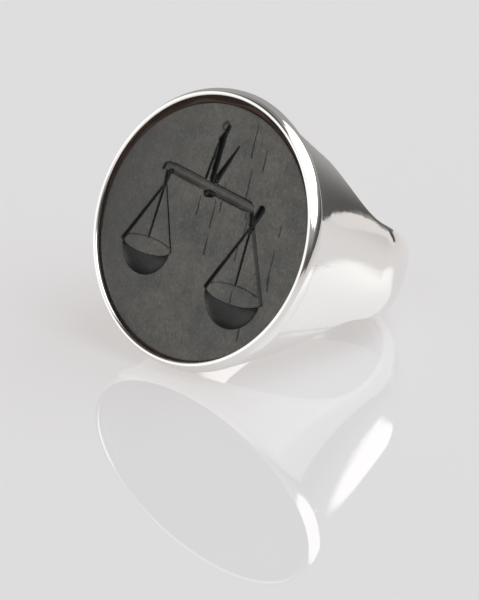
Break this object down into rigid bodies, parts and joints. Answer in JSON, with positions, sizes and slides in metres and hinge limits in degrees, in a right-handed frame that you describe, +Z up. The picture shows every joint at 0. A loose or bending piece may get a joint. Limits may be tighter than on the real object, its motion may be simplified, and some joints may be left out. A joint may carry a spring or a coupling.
{
  "type": "signet ring",
  "caption": "Oval signet ring in polished silver, lying on its side, with a sunk dark stone carved with a pair of scales.",
  "frame": {"origin": "bottom centre of the bounding box, on the surface the ring lies on", "axes": "+Z up, +Y towards the back of the shank, +X across the head; the face looks along -Y and is tilted up by 24 degrees"},
  "size_m": [0.0224, 0.0248, 0.0214],
  "materials": {
    "silver": "polished sterling silver with fine wear marks",
    "silver_rim": "bright polished sterling silver",
    "cement": "matt dark brown setting cement",
    "stone": "honed grey-black stone, not polished"
  },
  "bodies": {
    "root": {"ring_body": "silver", "bezel_rim": "silver_rim", "stone_cement": "cement", "intaglio_stone": "stone"}
  },
  "joints": []
}
